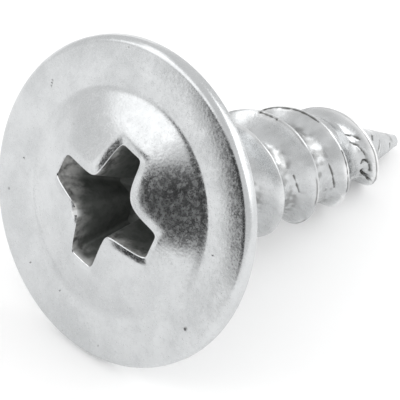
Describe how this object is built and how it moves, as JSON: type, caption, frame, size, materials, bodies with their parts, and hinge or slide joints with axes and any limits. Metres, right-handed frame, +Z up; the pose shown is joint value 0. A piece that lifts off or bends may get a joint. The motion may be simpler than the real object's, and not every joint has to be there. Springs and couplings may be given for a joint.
{
  "type": "drywall screw",
  "caption": "Short drywall screw with a wide low-domed washer head, cross recess, coarse twin right-hand thread and sharp point, zinc plated, lying at rest.",
  "frame": {"origin": "on the ground at the middle of the lying screw's bounding box", "axes": "+X from the head toward the point, along the ground; +Z up; the screw's own axis lies in the XZ plane and drops toward the point"},
  "size_m": [0.0144, 0.0108, 0.0102],
  "materials": {
    "zinc": "satin"
  },
  "bodies": {
    "root": {"screw": "zinc"}
  },
  "joints": []
}
